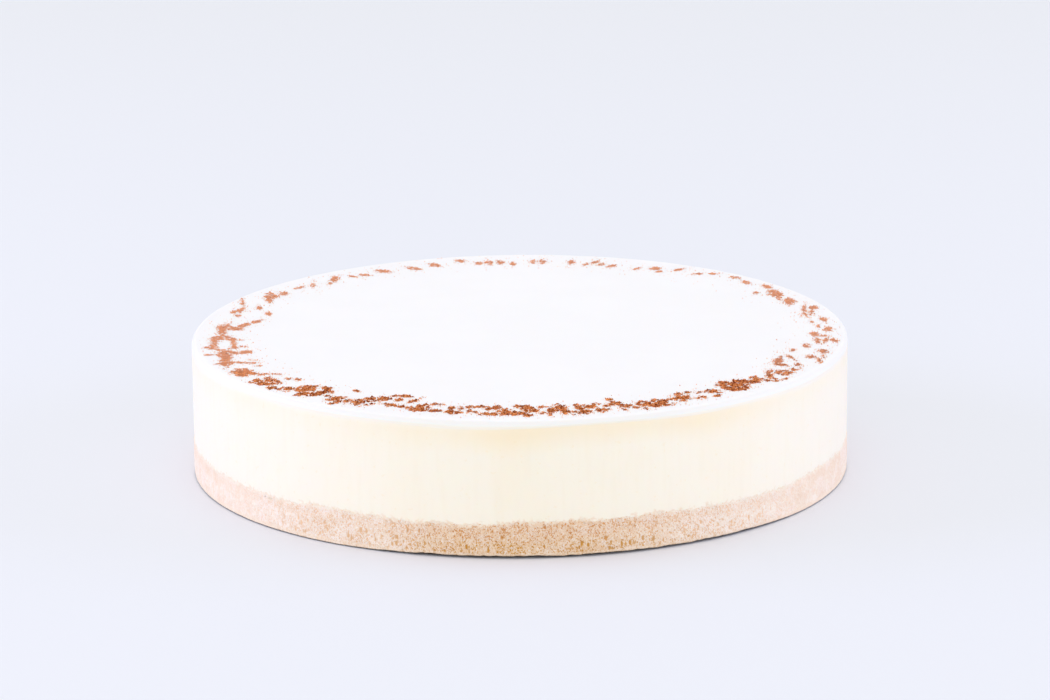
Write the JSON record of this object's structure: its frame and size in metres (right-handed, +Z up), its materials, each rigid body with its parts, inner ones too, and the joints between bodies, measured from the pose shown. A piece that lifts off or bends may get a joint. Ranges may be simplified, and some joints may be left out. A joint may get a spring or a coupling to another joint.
{
  "type": "baked cheesecake",
  "caption": "Whole round baked cheesecake: pressed biscuit crumb base, smooth ivory filling, thin white sour cream topping with a ring of dusted spice near its rim.",
  "frame": {"origin": "middle of the flat underside, on the surface that the cake stands on", "axes": "+Z up along the cake's axis; the side shown to the viewer faces -Y, with +X to its right"},
  "size_m": [0.2505, 0.2503, 0.0522],
  "materials": {
    "biscuit_crumb": "pressed, lightly baked biscuit crumb, dry, grainy and porous",
    "baked_cheese": "smooth ivory baked cheese with a soft satin side",
    "sour_cream": "smooth set white cream with a satin surface",
    "dusted_spice": "dry reddish-brown ground spice, matt and grainy"
  },
  "bodies": {
    "root": {"biscuit_base": "biscuit_crumb", "cheese_filling": "baked_cheese", "sour_cream_topping": "sour_cream"}
  },
  "joints": []
}
